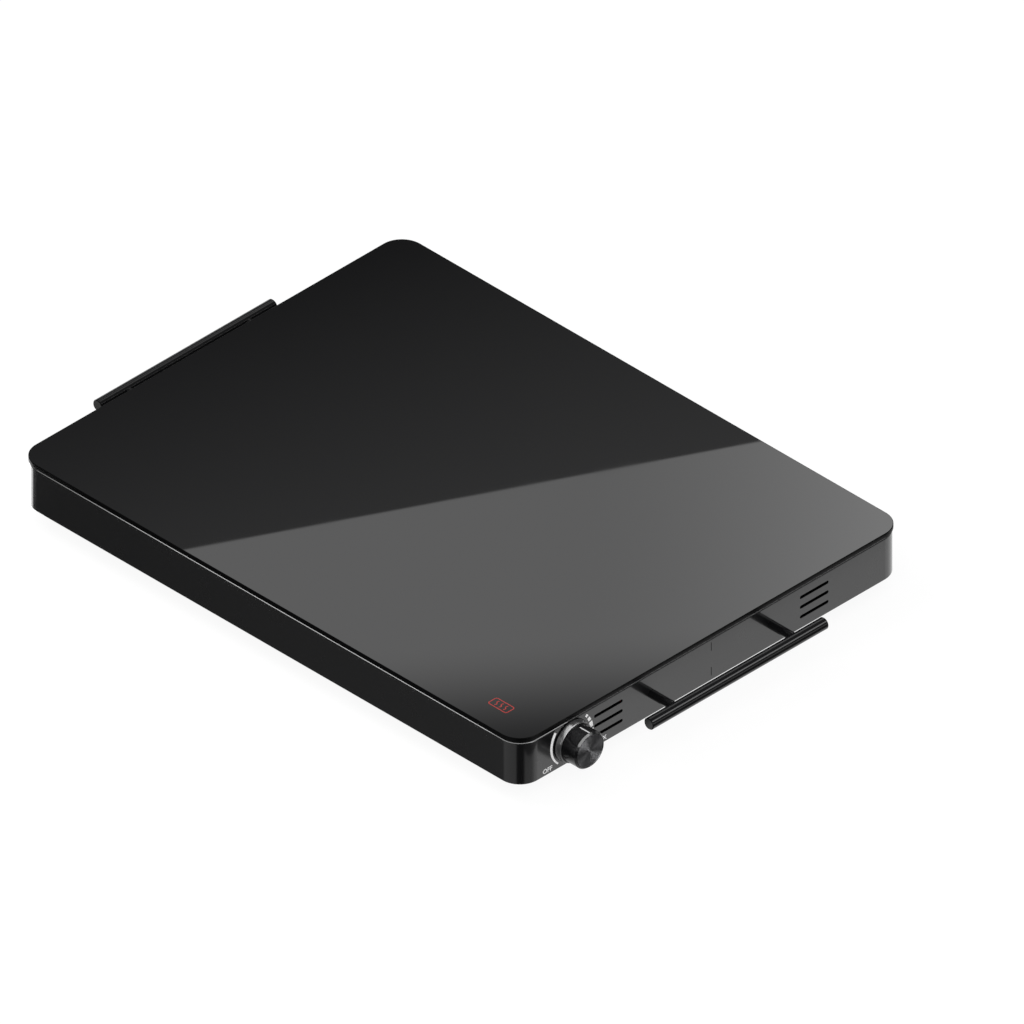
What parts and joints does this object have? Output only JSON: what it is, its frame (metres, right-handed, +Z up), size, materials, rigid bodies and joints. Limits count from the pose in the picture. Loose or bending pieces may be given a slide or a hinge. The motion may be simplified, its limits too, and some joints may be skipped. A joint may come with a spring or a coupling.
{
  "type": "food warmer tray",
  "caption": "Low rectangular warming tray with a flat black glass top, a sheet steel frame, a bar handle on each short side and a temperature knob.",
  "frame": {"origin": "middle of the footprint over the handles and the glass, at the bottoms of the feet", "axes": "+X along the long side towards the short side with the knob, +Y towards the rear long side, +Z up"},
  "size_m": [0.5986, 0.4104, 0.061],
  "materials": {
    "black_glass": "polished black glass, opaque",
    "seal_silicone": "matt black silicone",
    "frame_enamel": "glossy black enamel on sheet steel",
    "pan_enamel": "satin black enamel on sheet steel",
    "handle_enamel": "satin black coating on steel",
    "foot_rubber": "matt black rubber",
    "zinc_steel": "zinc-plated steel",
    "sheet_aluminium": "mill-finish aluminium sheet",
    "mica": "pressed mica board",
    "heater_alloy": "dull resistance alloy strip",
    "blanket_fibre": "white ceramic fibre felt",
    "brass": "turned brass",
    "steatite": "unglazed steatite",
    "blade_copper": "phosphor bronze strip",
    "bimetal": "bimetal strip",
    "knob_plastic": "black moulded plastic",
    "spun_metal": "dark spun aluminium",
    "white_ink": "white inlay",
    "red_film": "red translucent film",
    "lamp_plastic": "heat-resistant white plastic",
    "lamp_glass": "clear glass bulb with an orange glow",
    "gland_plastic": "black nylon",
    "brown_lead": "brown silicone sleeve",
    "red_lead": "red silicone sleeve",
    "blue_lead": "blue silicone sleeve",
    "grey_lead": "grey silicone sleeve",
    "green_lead": "green silicone sleeve"
  },
  "bodies": {
    "tray": {"glass_top": "black_glass", "glass_seal": "seal_silicone", "side_frame": "frame_enamel", "seam_plate": "frame_enamel", "base_pan": "pan_enamel", "base_screws": "zinc_steel", "rubber_feet": "foot_rubber", "foot_washers": "zinc_steel", "foot_screws": "zinc_steel", "foot_nuts": "zinc_steel", "left_handle_bar": "handle_enamel", "left_handle_posts": "handle_enamel", "right_handle_bar": "handle_enamel", "right_handle_posts": "handle_enamel", "handle_screws": "zinc_steel", "handle_washers": "zinc_steel", "heat_spreader": "sheet_aluminium", "upper_mica_sheet": "mica", "heater_ribbon": "heater_alloy", "lower_mica_sheet": "mica", "heater_terminals": "brass", "insulation_blanket": "blanket_fibre", "insulation_tray": "sheet_aluminium", "clamp_bars": "zinc_steel", "clamp_screws": "zinc_steel", "thermostat_bracket": "zinc_steel", "bracket_rivets": "sheet_aluminium", "thermostat_bushing": "brass", "bushing_nut": "brass", "thermostat_insulators": "steatite", "contact_blades": "blade_copper", "contact_points": "heater_alloy", "bimetal_blade": "bimetal", "stack_rivet": "zinc_steel", "legend_film": "red_film", "lamp_housing": "lamp_plastic", "indicator_lamps": "lamp_glass", "lamp_screw": "zinc_steel", "cord_gland": "gland_plastic", "gland_nut": "gland_plastic", "terminal_block": "steatite", "terminal_screws": "brass", "block_screws": "zinc_steel", "earth_screw": "brass", "thermal_fuse": "zinc_steel", "fuse_clip": "sheet_aluminium", "live_lead": "brown_lead", "switched_lead": "red_lead", "fuse_lead": "red_lead", "neutral_lead": "blue_lead", "lamp_leads": "grey_lead", "earth_lead": "green_lead"},
    "control": {"knob_body": "knob_plastic", "knob_cap": "spun_metal", "knob_pointer": "white_ink", "knob_clip": "zinc_steel", "control_spindle": "zinc_steel"},
    "adjuster": {"adjusting_pin": "steatite"}
  },
  "joints": [
    {"name": "knob_turn", "type": "hinge", "parent": "tray", "child": "control", "pos_m": [0.2674, -0.1496, 0.03725], "axis": [1, 0, 0], "range_deg": [-133, 139]},
    {"name": "pin_slide", "type": "slide", "parent": "tray", "child": "adjuster", "axis": [1, 0, 0], "range_m": [-0.00055, 0.00055]}
  ],
  "couplings": [
    {"joint": "pin_slide", "follows": "knob_turn", "m_per_rad": 0.000207}
  ]
}
